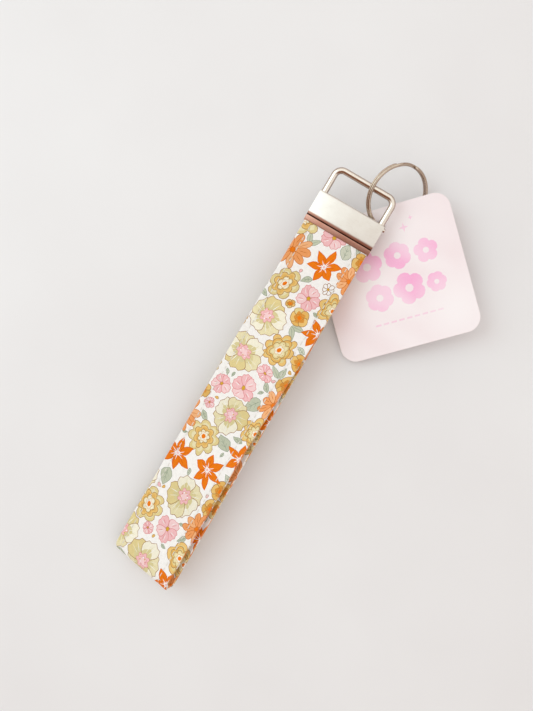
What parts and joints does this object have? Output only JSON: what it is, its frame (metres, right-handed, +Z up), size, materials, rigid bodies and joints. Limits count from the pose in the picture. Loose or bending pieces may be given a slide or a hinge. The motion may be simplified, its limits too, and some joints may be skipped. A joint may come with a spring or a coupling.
{
  "type": "wristlet keychain",
  "caption": "Printed cotton wrist strap folded into a loop and crimped in a metal end clamp, with a swinging wire loop, a split ring for keys and a card hang tag.",
  "frame": {"origin": "centre of the clamp's flat top plate", "axes": "+X along the strap towards the wire loop and the split ring, +Y across the strap, +Z up, out of the clamp's top plate"},
  "size_m": [0.2199, 0.0915, 0.0209],
  "materials": {
    "brushed_nickel": "satin nickel plate with fine grain",
    "polished_nickel": "polished nickel wire",
    "ring_steel": "polished nickel-plated spring steel",
    "printed_cotton": "white plain-weave cotton with a floral print in cream, mustard, orange, pink and sage",
    "interfacing": "white woven interfacing",
    "white_thread": "white polyester sewing thread",
    "pink_card": null
  },
  "bodies": {
    "wrist_strap": {"clamp_shell": "brushed_nickel", "strap_cover": "printed_cotton", "strap_core": "interfacing", "topstitch_left": "white_thread", "topstitch_right": "white_thread"},
    "wire_loop": {"swing_loop": "polished_nickel"},
    "key_ring": {"split_ring": "ring_steel"},
    "tag": {"hang_tag": "pink_card"}
  },
  "joints": [
    {"name": "loop_swing", "type": "hinge", "parent": "wrist_strap", "child": "wire_loop", "pos_m": [0.00432, 0, -0.00265], "axis": [0, -1, 0], "range_deg": [-5, 12]},
    {"name": "ring_swing", "type": "hinge", "parent": "wire_loop", "child": "key_ring", "pos_m": [0.01812, 0, -0.00096], "axis": [0, -1, 0], "range_deg": [0, 140]},
    {"name": "tag_swing", "type": "hinge", "parent": "key_ring", "child": "tag", "pos_m": [0.00632, -0.01453, -0.00938], "axis": [0.1032, -0.8, -0.5911], "range_deg": [-5, 55]}
  ]
}
